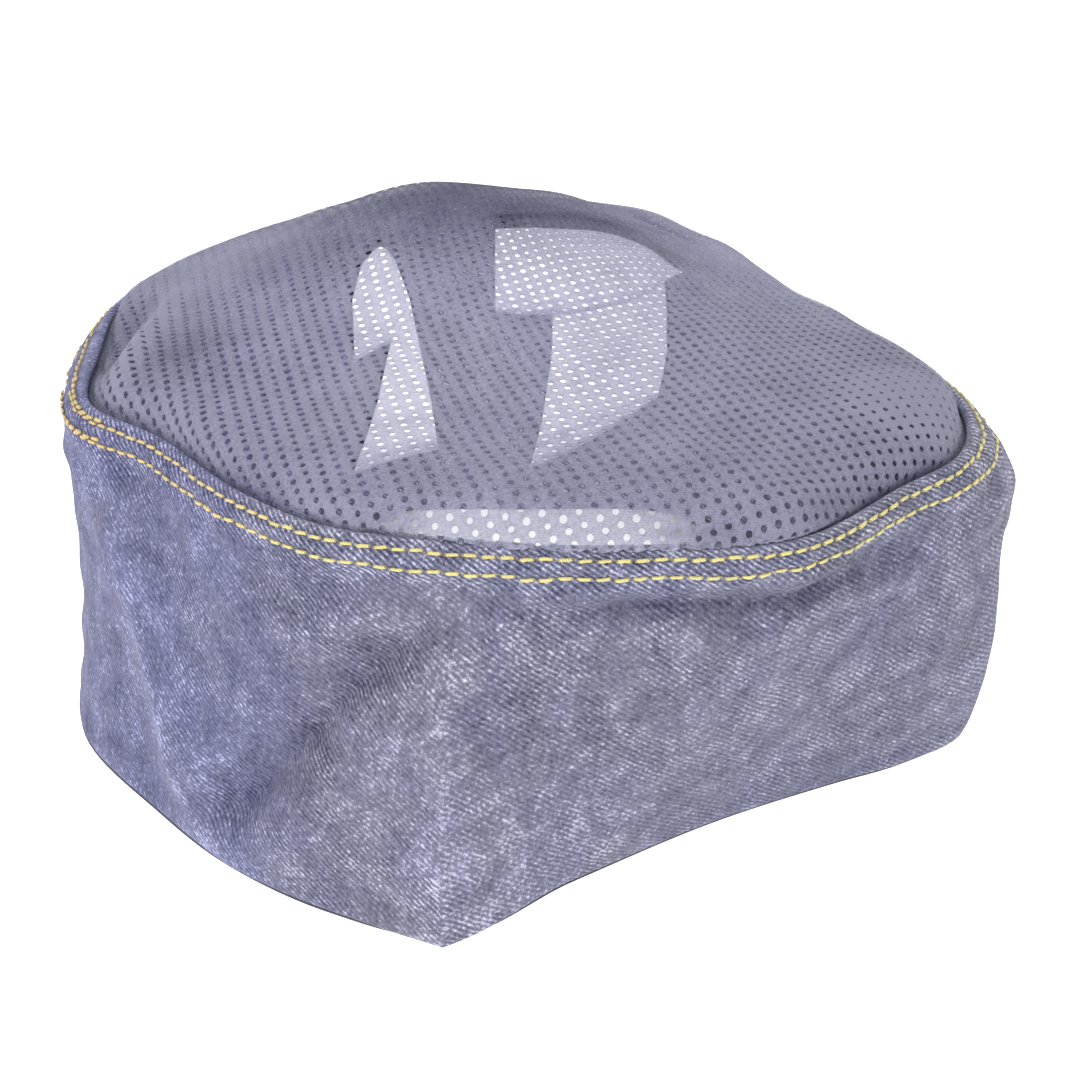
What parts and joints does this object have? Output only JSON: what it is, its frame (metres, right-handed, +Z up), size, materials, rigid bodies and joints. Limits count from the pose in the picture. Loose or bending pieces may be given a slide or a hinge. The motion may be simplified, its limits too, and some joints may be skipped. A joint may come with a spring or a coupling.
{
  "type": "chef skull cap",
  "caption": "Soft skull cap standing on its hem: a tall doubled denim side band, a see-through mesh crown and blank labels inside.",
  "frame": {"origin": "centre of the cap's box in plan, at the lower edge of the hem that it stands on", "axes": "+Z up through the crown, -Y towards the folded front corner, +X to the side"},
  "size_m": [0.2086, 0.1964, 0.1066],
  "materials": {
    "denim": "matte heathered indigo twill",
    "mesh_knit": "soft matte open knit",
    "label_cloth": "smooth white woven tape"
  },
  "bodies": {
    "root": {"side_band": "denim", "crown_mesh": "mesh_knit", "label_main": "label_cloth", "care_label": "label_cloth", "side_label": "label_cloth"}
  },
  "joints": []
}
